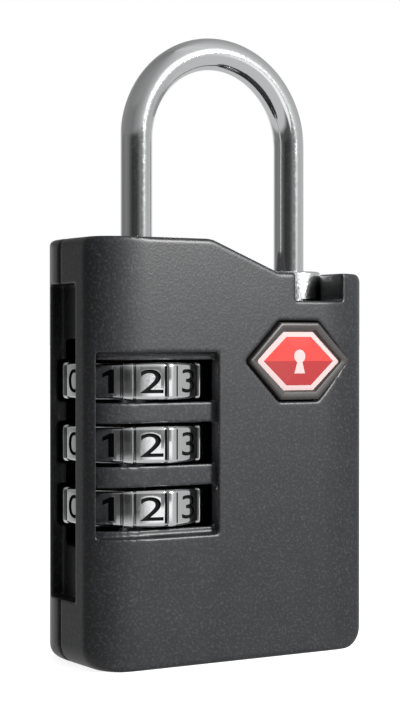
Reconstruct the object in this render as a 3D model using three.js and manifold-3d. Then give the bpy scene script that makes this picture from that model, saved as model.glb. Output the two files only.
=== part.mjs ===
// Three-dial luggage padlock: a two-part die-cast casing, a lifting wire shackle, three number
// dials on a spindle, a sliding latch plate and a small key cylinder in the base.
// Millimetres, +Z up, front of the lock towards -Y. The origin is on the base, under the middle.
import * as THREE from 'three';
import { mergeVertices } from 'three/addons/utils/BufferGeometryUtils.js';
import Module from 'manifold-3d';

// ---- driving dimensions ----------------------------------------------------------------------
const BODY = { width: 30, depth: 14, height: 38.5, shoulder: 35.65, kneeX: -3.0, slopeEndX: 4.2 };
const FRONT_EDGE = { x: 5.9, y: 2.55 };        // half-axes of the rounding down each front edge
const REAR_EDGE = 6.7;                         // radius down each rear edge
const CORNER = { top: 0.8, bottom: 1.9 };      // corner radii seen from the front
const WALL = 1.4;
const SPLIT_GAP = 0.3;                         // parting line between the two casings, at Y = 0
const GAP = 0.3;                               // clearance left round a seated piece

const WIRE = 1.5;                              // shackle wire radius
const LEG = { shortX: -7, longX: 10, archZ: 47.9, shortEnd: 32, longEnd: 7.5 };
const LIFT = 7;                                // travel of the shackle
const LATCH_RATIO = 0.3;                       // latch travel for each millimetre of lift

const DIAL = { x: -7.55, y: -0.4, ridge: 6.7, flat: 6.3, height: 3.3, bore: 2.7, digits: 10 };
const DIAL_Z = { top: 25.65, middle: 19.98, bottom: 14.3 };
const DIAL_TURN = 2.5;                         // degrees from the front to the nearest ridge
const DIAL_ROOM = 0.25;

const WINDOW = { x0: -14.25, x1: -2.37, z0: 11.75, z1: 28.2, depth: 0.85 };
const SLOT = { y0: -3.05, y1: 2.25, z0: 5.95, z1: 34.35, x: -13.4 };
const NOTCH = { x0: 6.1, x1: 11.65, z: 33 };
const BUSH = { radius: 3.1, bore: 1.8, neck: 2.4, top: 35.95, low: 30.2, lip: 30.7, chamfer: 0.35 };
const BADGE = { x: 6.4, z: 27.38, proud: 0.3, seat: 0.7 };
const BEZEL = { half: 5.68, edge: 2.12, rise: 3.6 };
const PLATE = { half: 4.6, edge: 1.6, rise: 2.6 };
const LOCK = { x: 4.5, housing: 2.8, plug: 2.0, top: 13.4 };
const RIVETS = [[-4, 32.1], [4.5, 33.4], [-7.5, 4.6], [9.3, 3.3]];
const RIVET = { shank: 0.8, head: 1.4, proud: 0.3 };

const LATCH = { z: 34.9, thick: 0.8, bite: 0.6, halfWidth: 2.6, leftX: -9.6, stemX: 1.7, low: 16.4, step: 1.7 };
const STOP_RING = { low: 22.6, thick: 0.4, radius: 2.5, bore: 1.45, groove: 1.15, room: 0.2 };
const SHACKLE_COIL = { radius: 2.05, wire: 0.27, seat: 6, turns: 7 };
const LATCH_COIL = { radius: 0.75, wire: 0.15, length: 3.2, turns: 5, pocket: 1.15 };
const SPINDLE = { radius: 1.45, hole: 1.8, low: 9, high: 30.7 };
const CHAMBER = { dialX0: -14, dialX1: -0.2, keyX0: -0.6, keyX1: 7.5, legX1: 14, latchX0: -12.2, latchX1: 5,
  shelfLow: 10.6, shelfHigh: 29.4, latchFloor: 30.8, keyTop: 31.6 };

// ---- materials -------------------------------------------------------------------------------
const material = (color, roughness, metalness) =>
  new THREE.MeshStandardMaterial({ color, roughness, metalness });
const COAT = material(0x3b3c3f, 0.65, 0.1);
const CHROME = material(0xd8dadc, 0.12, 1);
const STEEL = material(0x9a9da1, 0.35, 1);
const BRASS = material(0xb79a55, 0.35, 1);
const BLACK = material(0x1a1a1b, 0.5, 0.2);
const BADGE_RED = material(0xe0443e, 0.3, 0);

// ---- solids ----------------------------------------------------------------------------------
const wasm = await Module();
wasm.setup();

function solid(geometry) {
  const bare = geometry.clone();
  bare.deleteAttribute('normal');
  bare.deleteAttribute('uv');
  const merged = mergeVertices(bare, 1e-4);
  return new wasm.Manifold(new wasm.Mesh({
    numProp: 3,
    vertProperties: merged.attributes.position.array,
    triVerts: merged.index.array,
  }));
}

function geometryOf(manifold) {
  const mesh = manifold.getMesh();
  const geometry = new THREE.BufferGeometry();
  geometry.setAttribute('position', new THREE.BufferAttribute(mesh.vertProperties, 3));
  geometry.setIndex(new THREE.BufferAttribute(mesh.triVerts, 1));
  return geometry;
}

const lock = new THREE.Group();
lock.name = 'padlock';

function piece(name, shape, finish) {
  const geometry = shape.getMesh ? geometryOf(shape) : shape;
  const mesh = new THREE.Mesh(geometry, finish);
  mesh.name = name;
  lock.add(mesh);
  return mesh;
}

const joined = (...solids) => solids.reduce((whole, part) => whole.add(part));

function box(x0, x1, y0, y1, z0, z1) {
  const geometry = new THREE.BoxGeometry(x1 - x0, y1 - y0, z1 - z0);
  geometry.translate((x0 + x1) / 2, (y0 + y1) / 2, (z0 + z1) / 2);
  return solid(geometry);
}

function upright(shape, z0, z1, curveSegments = 8) {
  const geometry = new THREE.ExtrudeGeometry(shape, { depth: z1 - z0, bevelEnabled: false, curveSegments });
  return solid(geometry.translate(0, 0, z0));
}

// A shape drawn as the front sees it, X across and Z up, and carried from y0 to y1.
function facing(shape, y0, y1, curveSegments = 6) {
  const geometry = new THREE.ExtrudeGeometry(shape, { depth: y1 - y0, bevelEnabled: false, curveSegments });
  return solid(geometry.rotateX(Math.PI / 2).translate(0, y1, 0));
}

function post(x, y, radius, z0, z1, sides = 24) {
  const geometry = new THREE.CylinderGeometry(radius, radius, z1 - z0, sides);
  return solid(geometry.rotateX(Math.PI / 2).translate(x, y, (z0 + z1) / 2));
}

function crossBore(x, z, radius, y0, y1, sides = 20) {
  const geometry = new THREE.CylinderGeometry(radius, radius, y1 - y0, sides);
  return solid(geometry.translate(x, (y0 + y1) / 2, z));
}

// A turned piece: profile points are [radius, height], going once round the section.
function turned(profile, x, y, sides = 32) {
  const points = profile.map(([radius, height]) => new THREE.Vector2(radius, height));
  points.push(points[0].clone());
  return solid(new THREE.LatheGeometry(points, sides).rotateX(Math.PI / 2).translate(x, y, 0));
}

function polygon(points) {
  return new THREE.Shape(points.map(([x, y]) => new THREE.Vector2(x, y)));
}

// ---- casing outlines -------------------------------------------------------------------------
// The casing seen from the front, drawn in by inset on every side.
function frontOutline(inset) {
  const side = BODY.width / 2 - inset;
  const slope = Math.atan2(BODY.height - BODY.shoulder, BODY.slopeEndX - BODY.kneeX);
  const shift = inset * Math.tan(slope / 2);
  const low = inset;
  const shoulder = BODY.shoulder - inset;
  const top = BODY.height - inset;
  const rTop = Math.max(CORNER.top - inset, 0.1);
  const rLow = Math.max(CORNER.bottom - inset, 0.2);
  const shape = new THREE.Shape();
  shape.moveTo(-side + rLow, low);
  shape.lineTo(side - rLow, low);
  shape.absarc(side - rLow, low + rLow, rLow, -Math.PI / 2, 0);
  shape.lineTo(side, shoulder - rTop);
  shape.absarc(side - rTop, shoulder - rTop, rTop, 0, Math.PI / 2);
  shape.lineTo(BODY.slopeEndX - shift, shoulder);
  shape.lineTo(BODY.kneeX - shift, top);
  shape.lineTo(-side + rTop, top);
  shape.absarc(-side + rTop, top - rTop, rTop, Math.PI / 2, Math.PI);
  shape.lineTo(-side, low + rLow);
  shape.absarc(-side + rLow, low + rLow, rLow, Math.PI, Math.PI * 1.5);
  return shape;
}

// The casing seen from above: shallow elliptical front edges, round rear edges.
function plan(inset) {
  const side = BODY.width / 2 - inset;
  const half = BODY.depth / 2 - inset;
  const ex = FRONT_EDGE.x - inset;
  const ey = FRONT_EDGE.y - inset;
  const r = REAR_EDGE - inset;
  const shape = new THREE.Shape();
  shape.moveTo(-side + ex, -half);
  shape.lineTo(side - ex, -half);
  shape.absellipse(side - ex, -half + ey, ex, ey, -Math.PI / 2, 0);
  shape.absarc(side - r, half - r, r, 0, Math.PI / 2);
  shape.absarc(-side + r, half - r, r, Math.PI / 2, Math.PI);
  shape.absellipse(-side + ex, -half + ey, ex, ey, Math.PI, Math.PI * 1.5);
  return shape;
}

function casingForm(inset) {
  return facing(frontOutline(inset), -BODY.depth, BODY.depth)
    .intersect(upright(plan(inset), -1, BODY.height + 1, 10));
}

function hexagon(size, grow = 0) {
  const half = size.half + grow * 1.2;
  const edge = size.edge + grow * 0.5;
  const rise = size.rise + grow;
  return polygon([[-half, 0], [-edge, -rise], [edge, -rise], [half, 0], [edge, rise], [-edge, rise]]
    .map(([x, z]) => [x + BADGE.x, z + BADGE.z]));
}

// ---- casings ---------------------------------------------------------------------------------
const FRONT = -BODY.depth / 2;
const REAR = BODY.depth / 2;
const dialHeights = Object.values(DIAL_Z);
const dialHalf = DIAL.height / 2 + DIAL_ROOM;
const across = [-8, 8];                        // well past the casing, front to rear

function hollow() {
  const chambers = joined(
    box(CHAMBER.dialX0, CHAMBER.dialX1, ...across, CHAMBER.shelfLow, CHAMBER.shelfHigh),
    box(CHAMBER.keyX0, CHAMBER.keyX1, ...across, WALL, CHAMBER.keyTop),
    box(CHAMBER.keyX1 - 0.1, CHAMBER.legX1, ...across, SHACKLE_COIL.seat, CHAMBER.keyTop),
    box(CHAMBER.latchX0, CHAMBER.latchX1, ...across, CHAMBER.latchFloor, BODY.height),
  ).intersect(casingForm(WALL));
  const posts = RIVETS.map(([x, z]) => crossBore(x, z, RIVET.head, ...across));
  return chambers.subtract(joined(...posts));
}

function casingCuts() {
  const dialRoom = dialHeights.map((z) =>
    post(DIAL.x, DIAL.y, DIAL.ridge + DIAL_ROOM, z - dialHalf, z + dialHalf, 48));
  const openings = dialHeights.map((z) =>
    box(WINDOW.x0, WINDOW.x1, FRONT - 1, -3, z - dialHalf, z + dialHalf));
  const recess = box(WINDOW.x0, WINDOW.x1, FRONT - 1, -3, WINDOW.z0, WINDOW.z1)
    .subtract(casingForm(WINDOW.depth));
  const slot = box(-16, SLOT.x, SLOT.y0, SLOT.y1, SLOT.z0, SLOT.z1);
  const notch = box(NOTCH.x0, NOTCH.x1, FRONT - 1, 0, NOTCH.z, BODY.height);
  const bushSeat = joined(
    post(LEG.longX, 0, BUSH.radius + GAP, NOTCH.z, BODY.height, 32),
    post(LEG.longX, 0, BUSH.neck + GAP, BUSH.lip + GAP, NOTCH.z + 0.1, 32),
  );
  const legHole = post(LEG.shortX, 0, WIRE + GAP, CHAMBER.latchFloor, BODY.height + 1);
  const spindleHole = post(DIAL.x, DIAL.y, SPINDLE.hole, SPINDLE.low - GAP, SPINDLE.high + GAP);
  const lockHole = post(LOCK.x, 0, LOCK.housing + GAP, -1, WALL + 0.1, 32);
  const springPocket = new THREE.CylinderGeometry(LATCH_COIL.pocket, LATCH_COIL.pocket, 2.6, 16).rotateZ(Math.PI / 2)
    .translate(-12.4, 0, LATCH.z + LATCH.thick / 2);
  const badgeSeat = facing(hexagon(BEZEL, GAP), FRONT - 1, FRONT + BADGE.seat);
  const rivetHoles = RIVETS.map(([x, z]) => joined(
    crossBore(x, z, RIVET.shank + GAP, -5, REAR + 1),
    crossBore(x, z, RIVET.head + GAP, REAR - 0.9, REAR + 1),
  ));
  return joined(hollow(), ...dialRoom, ...openings, recess, slot, notch, bushSeat, legHole,
    spindleHole, lockHole, solid(springPocket), badgeSeat, ...rivetHoles);
}

const shell = casingForm(0).subtract(casingCuts());
piece('front_casing', shell.intersect(box(-20, 20, -20, -SPLIT_GAP / 2, -1, 60)), COAT);
piece('rear_casing', shell.intersect(box(-20, 20, SPLIT_GAP / 2, 20, -1, 60)), COAT);

RIVETS.forEach(([x, z], i) => {
  const head = new THREE.LatheGeometry([[0, 0], [RIVET.shank, 0], [RIVET.shank, 11.2], [RIVET.head, 11.2],
    [RIVET.head, 11.7], [RIVET.head * 0.75, 11.9], [0, 12]].map(([r, h]) => new THREE.Vector2(r, h)), 20);
  head.translate(x, REAR + RIVET.proud - 12, z);
  piece(`casing_rivet_${i + 1}`, solid(head), COAT);
});

// ---- shackle ---------------------------------------------------------------------------------
function shackle() {
  const archRadius = (LEG.longX - LEG.shortX) / 2;
  const middleX = (LEG.longX + LEG.shortX) / 2;
  class Bow extends THREE.Curve {
    getPoint(t, target = new THREE.Vector3()) {
      const angle = Math.PI * (1 - t);
      return target.set(middleX + archRadius * Math.cos(angle), 0, LEG.archZ + archRadius * Math.sin(angle));
    }
  }
  const section = new THREE.Shape();
  section.absarc(0, 0, WIRE, 0, Math.PI * 2);
  const bow = new THREE.ExtrudeGeometry(section, { steps: 20, curveSegments: 8, extrudePath: new Bow() });
  const overlap = 0.05;
  let wire = joined(
    solid(bow),
    post(LEG.shortX, 0, WIRE, LEG.shortEnd, LEG.archZ + overlap, 32),
    post(LEG.longX, 0, WIRE, LEG.longEnd, LEG.archZ + overlap, 32),
  );
  // The latch notch: square above, and a long taper below that lets the latch slide back out.
  const outer = LEG.shortX - WIRE;
  const deep = outer + LATCH.bite + 0.18;
  const notchTop = LATCH.z + LATCH.thick + 0.1;
  const notchLow = LATCH.z - 0.1;
  const run = (deep - outer) / LATCH_RATIO;
  const notch = polygon([[outer - 0.5, notchTop], [outer - 0.5, notchLow - run], [outer, notchLow - run],
    [deep, notchLow], [deep, notchTop]]);
  wire = wire.subtract(facing(notch, -2, 2));
  const grooveLow = STOP_RING.low - STOP_RING.room;
  const grooveHigh = STOP_RING.low + STOP_RING.thick + STOP_RING.room;
  const ringGroove = turned([[STOP_RING.groove, grooveLow], [2, grooveLow], [2, grooveHigh],
    [STOP_RING.groove, grooveHigh]], LEG.longX, 0);
  return wire.subtract(ringGroove);
}
piece('shackle', shackle(), CHROME);

piece('shackle_bush', turned([
  [BUSH.bore, BUSH.low], [BUSH.radius, BUSH.low], [BUSH.radius, BUSH.lip], [BUSH.neck, BUSH.lip],
  [BUSH.neck, NOTCH.z + GAP], [BUSH.radius, NOTCH.z + GAP], [BUSH.radius, BUSH.top - BUSH.chamfer],
  [BUSH.radius - BUSH.chamfer, BUSH.top], [BUSH.bore, BUSH.top],
], LEG.longX, 0, 36), CHROME);

const ringTop = STOP_RING.low + STOP_RING.thick;
piece('shackle_stop_ring', turned([[STOP_RING.bore, STOP_RING.low], [STOP_RING.radius, STOP_RING.low],
  [STOP_RING.radius, ringTop], [STOP_RING.bore, ringTop]], LEG.longX, 0, 24)
  .subtract(box(LEG.longX - 0.9, LEG.longX + 0.9, 0, 4, STOP_RING.low - 1, ringTop + 1)), STEEL);

// ---- coil springs ----------------------------------------------------------------------------
function coil(radius, wire, length, turns) {
  class Helix extends THREE.Curve {
    getPoint(t, target = new THREE.Vector3()) {
      const angle = Math.PI * 2 * turns * t;
      return target.set(radius * Math.cos(angle), radius * Math.sin(angle), length * t);
    }
  }
  const section = new THREE.Shape();
  section.absarc(0, 0, wire, 0, Math.PI * 2);
  return new THREE.ExtrudeGeometry(section, { steps: turns * 12, curveSegments: 2, extrudePath: new Helix() });
}
const coilFoot = SHACKLE_COIL.seat + SHACKLE_COIL.wire + 0.1;
const coilHead = STOP_RING.low - SHACKLE_COIL.wire - 0.23;
piece('shackle_spring', solid(coil(SHACKLE_COIL.radius, SHACKLE_COIL.wire, coilHead - coilFoot, SHACKLE_COIL.turns)
  .translate(LEG.longX, 0, coilFoot)), STEEL);

piece('latch_spring', solid(coil(LATCH_COIL.radius, LATCH_COIL.wire, LATCH_COIL.length, LATCH_COIL.turns)
  .rotateY(Math.PI / 2)
  .translate(LATCH.leftX - LATCH_COIL.length - 0.4, 0, LATCH.z + LATCH.thick / 2)), STEEL);

// ---- dials and their sleeves -----------------------------------------------------------------
function dialOutline() {
  const sector = 360 / DIAL.digits;
  const shape = [];
  const point = (radius, degrees) => {
    const angle = THREE.MathUtils.degToRad(degrees + DIAL_TURN - 90);
    shape.push([DIAL.x + radius * Math.cos(angle), DIAL.y + radius * Math.sin(angle)]);
  };
  const flatHalf = 13.2;
  const flatEnd = DIAL.flat / Math.cos(THREE.MathUtils.degToRad(flatHalf));
  for (let i = 0; i < DIAL.digits; i += 1) {
    const ridge = i * sector;
    point(flatEnd, ridge - sector / 2 + flatHalf);
    point(DIAL.ridge, ridge - 2.6);
    point(DIAL.ridge, ridge + 2.6);
    point(flatEnd, ridge + sector / 2 - flatHalf);
  }
  return polygon(shape);
}

function dial(z) {
  const blank = upright(dialOutline(), z - DIAL.height / 2, z + DIAL.height / 2);
  return blank.subtract(post(DIAL.x, DIAL.y, DIAL.bore, z - 3, z + 3, 28));
}

function sleeve(z) {
  const low = z - DIAL.height / 2;
  const high = z + DIAL.height / 2;
  const collar = { low: high + GAP, high: high + 1.3, radius: 3.1 };
  const tube = turned([
    [1.75, low], [DIAL.bore - GAP, low], [DIAL.bore - GAP, collar.low], [collar.radius, collar.low],
    [collar.radius, collar.high], [1.75, collar.high],
  ], DIAL.x, DIAL.y, 28);
  const gate = box(DIAL.x + 2.1, DIAL.x + 4, DIAL.y - 0.6, DIAL.y + 0.6, collar.low - 0.1, collar.high + 0.1);
  return tube.subtract(gate);
}

for (const [place, z] of Object.entries(DIAL_Z)) {
  piece(`dial_${place}`, dial(z), CHROME);
  piece(`dial_sleeve_${place}`, sleeve(z), BRASS);
}

piece('dial_spindle', post(DIAL.x, DIAL.y, SPINDLE.radius, SPINDLE.low, SPINDLE.high, 20), STEEL);

// ---- detent spring: one leaf with a finger for each dial ---------------------------------------
function detentSpring() {
  const reach = THREE.MathUtils.degToRad(35);
  const clear = DIAL.ridge + GAP;
  const tip = [DIAL.x + clear * Math.cos(reach), DIAL.y + clear * Math.sin(reach)];
  const leaf = polygon([[0.9, 5.3], [0.55, 5.3], [tip[0] + 0.3, tip[1] + 0.75], tip,
    [tip[0] + 0.55, tip[1] + 0.45], [0.9, 4.9]]);
  const fingers = dialHeights.map((z) => upright(leaf, z - 0.9, z + 0.9));
  return joined(box(0.55, 0.9, 2.6, 5.3, dialHeights[2] - 2.2, dialHeights[0] + 2.2), ...fingers);
}
piece('detent_spring', detentSpring(), STEEL);

// ---- latch plate -----------------------------------------------------------------------------
function latchPlate() {
  const stem = { x0: LATCH.stemX, x1: LATCH.stemX + 0.8, y0: DIAL.y - 1, y1: DIAL.y + 1 };
  const top = LATCH.z + LATCH.thick;
  const biteX = LEG.shortX - WIRE + LATCH.bite;
  const step = { x: 0, z: LATCH.z - LATCH.step };      // the plate steps down to pass under the sloping roof
  const plate = joined(
    box(LATCH.leftX, step.x, -LATCH.halfWidth, LATCH.halfWidth, LATCH.z, top),
    box(step.x - LATCH.thick, step.x, stem.y0, stem.y1, step.z, top - 0.1),
    box(step.x - LATCH.thick, stem.x1, stem.y0, stem.y1, step.z, step.z + LATCH.thick),
  );
  const eye = box(biteX, LEG.shortX + WIRE + LIFT * LATCH_RATIO + 0.4, -1.9, 1.9, LATCH.z - 1, top + 1);
  const fingers = dialHeights.map((z) => {
    const low = z + DIAL.height / 2 + GAP;
    return box(DIAL.x + 3.1 + GAP + LIFT * LATCH_RATIO, stem.x0 + 0.1, DIAL.y - 0.45, DIAL.y + 0.45,
      low + 0.1, low + 0.9);
  });
  const bar = box(stem.x0, stem.x1, stem.y0, stem.y1, LATCH.low, step.z + 0.1);
  return joined(plate, bar, ...fingers).subtract(eye);
}
piece('latch_plate', latchPlate(), STEEL);

// ---- key cylinder ----------------------------------------------------------------------------
const plugFace = 0.35;
const waferHeights = [3.2, 5.1, 7, 8.9];
piece('key_housing', turned([[LOCK.plug + GAP, plugFace], [LOCK.housing, plugFace],
  [LOCK.housing, LOCK.top], [LOCK.plug + GAP, LOCK.top]], LOCK.x, 0), BRASS);

function keyPlug() {
  const barrel = joined(
    post(LOCK.x, 0, LOCK.plug, plugFace, LOCK.top + 0.6, 28),
    box(LOCK.x - 0.6, LOCK.x + 0.6, -0.6, 0.6, LOCK.top + 0.5, LOCK.top + 2.6),
  );
  const keyway = box(LOCK.x - 0.4, LOCK.x + 0.4, -1.6, 1.6, plugFace - 1, 10.6);
  const slots = waferHeights.map((z) => box(LOCK.x - 1.2, LOCK.x + 1.2, -3, 3, z - 0.45, z + 0.45));
  return barrel.subtract(joined(keyway, ...slots));
}
piece('key_plug', keyPlug(), CHROME);

waferHeights.forEach((z, i) => {
  const wafer = box(LOCK.x - 0.9, LOCK.x + 0.9, -1.75, 1.75, z - 0.2, z + 0.2)
    .subtract(box(LOCK.x - 0.45, LOCK.x + 0.45, -1.2 + 0.2 * i, 1.2 - 0.1 * i, z - 1, z + 1));
  piece(`key_wafer_${i + 1}`, wafer, BRASS);
});

function keyCam() {
  const low = LOCK.top + 1.5;
  const high = LOCK.top + 2.4;
  const lobe = joined(
    post(LOCK.x, 0, 1.25, low, high, 24),
    box(LOCK.x - 0.6, LOCK.x + 0.6, -1.65, 0, low, high),
  );
  return lobe.subtract(box(LOCK.x - 0.8, LOCK.x + 0.8, -0.8, 0.8, low - 1, high + 1));
}
piece('key_cam', keyCam(), STEEL);

// ---- badge -----------------------------------------------------------------------------------
const badgeFloor = FRONT + BADGE.seat - 0.15;
piece('badge_bezel', facing(hexagon(BEZEL), FRONT - BADGE.proud, badgeFloor)
  .subtract(facing(hexagon(PLATE, 0.25), FRONT - 1, badgeFloor + 1)), BLACK);
piece('badge_plate', facing(hexagon(PLATE), FRONT - 0.15, badgeFloor), BADGE_RED);

export default lock;
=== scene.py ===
"""Luggage combination padlock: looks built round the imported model."""
import math

import bmesh
import bpy
from mathutils import Matrix, Vector


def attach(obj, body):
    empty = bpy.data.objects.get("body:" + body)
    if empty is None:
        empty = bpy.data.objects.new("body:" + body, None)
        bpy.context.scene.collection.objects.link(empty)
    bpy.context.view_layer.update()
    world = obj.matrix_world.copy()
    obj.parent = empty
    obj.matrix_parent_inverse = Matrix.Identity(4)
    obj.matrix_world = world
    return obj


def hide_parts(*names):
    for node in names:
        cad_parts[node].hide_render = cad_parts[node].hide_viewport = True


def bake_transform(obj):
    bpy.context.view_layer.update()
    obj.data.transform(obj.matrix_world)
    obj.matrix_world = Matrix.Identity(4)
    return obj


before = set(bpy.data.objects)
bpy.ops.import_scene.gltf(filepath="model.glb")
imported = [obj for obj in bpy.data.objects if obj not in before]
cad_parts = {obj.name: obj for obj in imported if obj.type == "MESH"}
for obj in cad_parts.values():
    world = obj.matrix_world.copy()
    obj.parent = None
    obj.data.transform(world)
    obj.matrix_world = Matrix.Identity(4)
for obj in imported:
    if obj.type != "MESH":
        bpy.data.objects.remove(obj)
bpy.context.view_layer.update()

# ---- camera, floor and light -------------------------------------------------------------------
# A long lens level with the lock's middle, from its front left corner. The lock stands on a plain
# white table in a grey room of three rings, walls, windows and ceiling, with one soft box in front
# on the right and a bright wall behind.
MM = 0.001
CAMERA_PLACE = (-89.65, -146.14, 29.11)
CAMERA_AIM = (-0.1, 0.0, 27.64)
LENS = 91.15
SOFT_BOX = {"azimuth": 26, "elevation": 22, "distance": 260, "size": 60, "watts": 0.88}
TABLE_WIDTH = 30000
TABLE_TOP = -0.02               # just clear of the lock's base
HORIZON_BLEND = 0.02            # sine of the elevation over which the room turns into the table
PAPER_WHITE = 1.0
TABLE_LIFT = 0.85               # light through the table's white card from below, as on a lightbox
# Where the sky's rings blend into each other, as sines of the elevation.
WINDOW_FOOT, WINDOW_HEAD, NEAR_TABLE = (0.12, 0.2), (0.46, 0.62), (-0.14, -0.3)
NEAR_TABLE_GREY = 0.56
# Brightness of the room round the lock: (azimuth in degrees, 0 the front and 90 the right, radiance).
ROOM = [(-180, 0.90), (-158, 0.30), (-143, 0.18), (-110, 0.21), (-90, 0.18), (-72, 0.08), (-57, 0.035),
        (-25, 0.05), (-14, 0.10), (-4, 0.19), (12, 0.21), (20, 0.40), (29, 0.78), (37, 0.60), (47, 0.46),
        (80, 0.50), (97, 0.48), (112, 0.75), (130, 1.0), (180, 1.0)]
TABLE_GLOW = [(-180, 1.0), (-160, 0.50), (-143, 0.22), (-110, 0.20), (-97, 0.16), (-80, 0.10), (-45, 0.06),
              (-9, 0.10), (-1, 1.05), (24, 1.05), (36, 0.55), (76, 0.45), (92, 0.10), (106, 0.10), (118, 0.8),
              (180, 1.0)]
# The lit windows' height, and the ceiling over them.
WINDOW_BAND = [(-180, 0.30), (-110, 0.22), (-60, 0.20), (-20, 0.34), (4, 0.55), (13, 1.02), (36, 1.02), (44, 0.62),
               (70, 0.48), (100, 0.46), (180, 0.35)]
CEILING = [(-180, 0.22), (-109, 0.24), (-34, 0.30), (-8, 0.42), (30, 0.66), (48, 0.58), (76, 0.47), (112, 0.40),
           (180, 0.25)]


def linear(hex_colour):
    """The linear RGBA of an sRGB hex colour."""
    channels = [int(hex_colour[i:i + 2], 16) / 255 for i in (1, 3, 5)]
    return tuple(c / 12.92 if c <= 0.04045 else ((c + 0.055) / 1.055) ** 2.4 for c in channels) + (1.0,)


def add_node(tree, kind, inputs=None, **settings):
    """Adds a node with its settings. An input is a value, or the socket that feeds it."""
    made = tree.nodes.new(kind)
    for name, value in settings.items():
        setattr(made, name, value)
    for name, value in (inputs or {}).items():
        if isinstance(value, bpy.types.NodeSocket):
            tree.links.new(value, made.inputs[name])
        else:
            made.inputs[name].default_value = value
    return made


def compass(azimuth, elevation, distance):
    """The point that far from the lock's foot, in metres."""
    a, e = math.radians(azimuth), math.radians(elevation)
    return Vector((math.sin(a) * math.cos(e), -math.cos(a) * math.cos(e), math.sin(e))) * distance * MM


def look_at(thing, target):
    thing.rotation_euler = (Vector(target) - thing.location).to_track_quat("-Z", "Y").to_euler()


scene = bpy.context.scene
scene.view_settings.view_transform = "Standard"

camera = bpy.data.objects.new("camera", bpy.data.cameras.new("camera"))
scene.collection.objects.link(camera)
camera.location = Vector(CAMERA_PLACE) * MM
look_at(camera, Vector(CAMERA_AIM) * MM)
camera.data.lens = LENS
camera.data.sensor_width = 36
camera.data.clip_start = 0.01
scene.camera = camera

lamp = bpy.data.lights.new("soft_box", "AREA")
lamp.shape = "SQUARE"
lamp.size = SOFT_BOX["size"] * MM
lamp.energy = SOFT_BOX["watts"]
soft_box = bpy.data.objects.new("soft_box", lamp)
scene.collection.objects.link(soft_box)
lock_middle = Vector((0, 0, 30)) * MM      # half way up the lock with its shackle
soft_box.location = lock_middle + compass(SOFT_BOX["azimuth"], SOFT_BOX["elevation"], SOFT_BOX["distance"])
look_at(soft_box, lock_middle)
soft_box.visible_camera = False

room = bpy.data.worlds.new("room")
scene.world = room
room.use_nodes = True
sky = room.node_tree
sky.nodes.clear()


def compass_ramp(turn, stops):
    """A grey ramp round the compass."""
    ramp = add_node(sky, "ShaderNodeValToRGB", {"Fac": turn})
    band = ramp.color_ramp.elements
    for azimuth, _ in stops[1:-1]:
        band.new((azimuth + 180) / 360)
    for stop, (_, grey) in zip(band, stops):
        stop.color = (grey, grey, grey, 1)
    return ramp.outputs["Color"]


outlook = add_node(sky, "ShaderNodeTexCoord").outputs["Generated"]
heading = add_node(sky, "ShaderNodeSeparateXYZ", {"Vector": outlook})
forward = add_node(sky, "ShaderNodeMath", {0: heading.outputs["Y"], 1: -1.0}, operation="MULTIPLY")
bearing = add_node(sky, "ShaderNodeMath", {0: heading.outputs["X"], 1: forward.outputs[0]}, operation="ARCTAN2")
turn = add_node(sky, "ShaderNodeMapRange", {"Value": bearing.outputs[0], "From Min": -math.pi,
                                            "From Max": math.pi})
above = add_node(sky, "ShaderNodeMapRange", {"Value": heading.outputs["Z"], "From Min": -HORIZON_BLEND,
                                             "From Max": 0.0})
raised = add_node(sky, "ShaderNodeMapRange", {"Value": heading.outputs["Z"], "From Min": WINDOW_FOOT[0],
                                              "From Max": WINDOW_FOOT[1]},
                  interpolation_type="SMOOTHSTEP")
overhead = add_node(sky, "ShaderNodeMapRange", {"Value": heading.outputs["Z"], "From Min": WINDOW_HEAD[0],
                                                "From Max": WINDOW_HEAD[1]},
                    interpolation_type="SMOOTHSTEP")
around = add_node(sky, "ShaderNodeMix", {0: above.outputs[0], 6: compass_ramp(turn.outputs[0], TABLE_GLOW),
                                         7: compass_ramp(turn.outputs[0], ROOM)}, data_type="RGBA")
underfoot = add_node(sky, "ShaderNodeMapRange", {"Value": heading.outputs["Z"], "From Min": NEAR_TABLE[0],
                                                 "From Max": NEAR_TABLE[1]},
                     interpolation_type="SMOOTHSTEP")
floored = add_node(sky, "ShaderNodeMix", {0: underfoot.outputs[0], 6: around.outputs[2],
                                          7: (NEAR_TABLE_GREY,) * 3 + (1,)}, data_type="RGBA")
windowed = add_node(sky, "ShaderNodeMix", {0: raised.outputs[0], 6: floored.outputs[2],
                                           7: compass_ramp(turn.outputs[0], WINDOW_BAND)}, data_type="RGBA")
domed = add_node(sky, "ShaderNodeMix", {0: overhead.outputs[0], 6: windowed.outputs[2],
                                        7: compass_ramp(turn.outputs[0], CEILING)}, data_type="RGBA")
seen = add_node(sky, "ShaderNodeLightPath")
backdrop = add_node(sky, "ShaderNodeMix", {0: seen.outputs["Is Camera Ray"], 6: domed.outputs[2],
                                           7: (PAPER_WHITE,) * 3 + (1,)}, data_type="RGBA")
glow = add_node(sky, "ShaderNodeBackground", {"Color": backdrop.outputs[2], "Strength": 1.0})
add_node(sky, "ShaderNodeOutputWorld", {"Surface": glow.outputs[0]})


def new_piece(name, vertices, faces):
    """A mesh object in the scene, its corners given in millimetres."""
    mesh = bpy.data.meshes.new(name)
    mesh.from_pydata([Vector(v) * MM for v in vertices], [], faces)
    made = bpy.data.objects.new(name, mesh)
    scene.collection.objects.link(made)
    return made


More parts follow.
